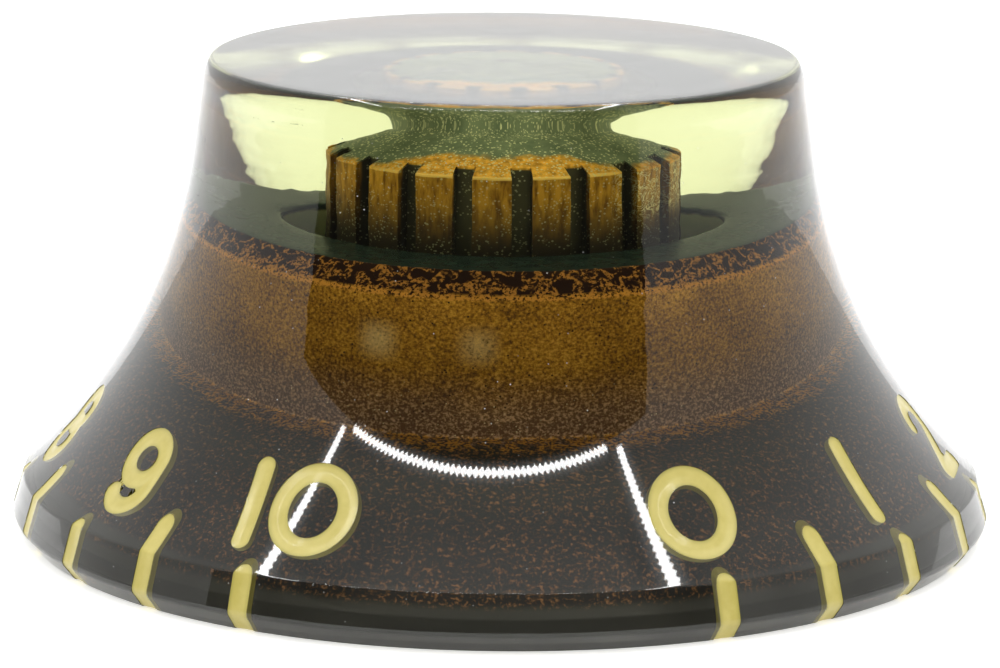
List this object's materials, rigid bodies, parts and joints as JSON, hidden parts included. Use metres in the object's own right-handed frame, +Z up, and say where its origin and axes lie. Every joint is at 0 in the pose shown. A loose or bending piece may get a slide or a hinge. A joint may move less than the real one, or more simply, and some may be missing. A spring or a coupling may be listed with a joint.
{
  "type": "control knob",
  "caption": "Clear amber bell-shaped control knob with a flared numbered skirt, gold-coated underside and splined blind socket.",
  "frame": {"origin": "on the turning axis, in the plane of the flat rim the knob stands on", "axes": "+Z up along the turning axis from the rim to the crown; -Y towards the gap in the scale between 10 and 0"},
  "size_m": [0.0264, 0.0264, 0.0128],
  "materials": {
    "clear_amber": "clear moulded acrylic, polished, faint yellow-green tint",
    "gold_paint": "thin bronze-gold paint coat with coarse speckle, seen through the moulding",
    "pale_paint": "pale yellow paint wiped into the engraved grooves, slightly sunk"
  },
  "bodies": {
    "root": {"knob_body": "clear_amber", "gold_backing": "gold_paint", "numeral_0": "pale_paint", "numeral_1": "pale_paint", "numeral_2": "pale_paint", "numeral_3": "pale_paint", "numeral_4": "pale_paint", "numeral_5": "pale_paint", "numeral_6": "pale_paint", "numeral_7": "pale_paint", "numeral_8": "pale_paint", "numeral_9": "pale_paint", "numeral_10": "pale_paint", "tick_0": "pale_paint", "tick_1": "pale_paint", "tick_2": "pale_paint", "tick_3": "pale_paint", "tick_4": "pale_paint", "tick_5": "pale_paint", "tick_6": "pale_paint", "tick_7": "pale_paint", "tick_8": "pale_paint", "tick_9": "pale_paint", "tick_10": "pale_paint", "half_tick_0_5": "pale_paint", "half_tick_1_5": "pale_paint", "half_tick_2_5": "pale_paint", "half_tick_3_5": "pale_paint", "half_tick_4_5": "pale_paint", "half_tick_5_5": "pale_paint", "half_tick_6_5": "pale_paint", "half_tick_7_5": "pale_paint", "half_tick_8_5": "pale_paint", "half_tick_9_5": "pale_paint"}
  },
  "joints": []
}
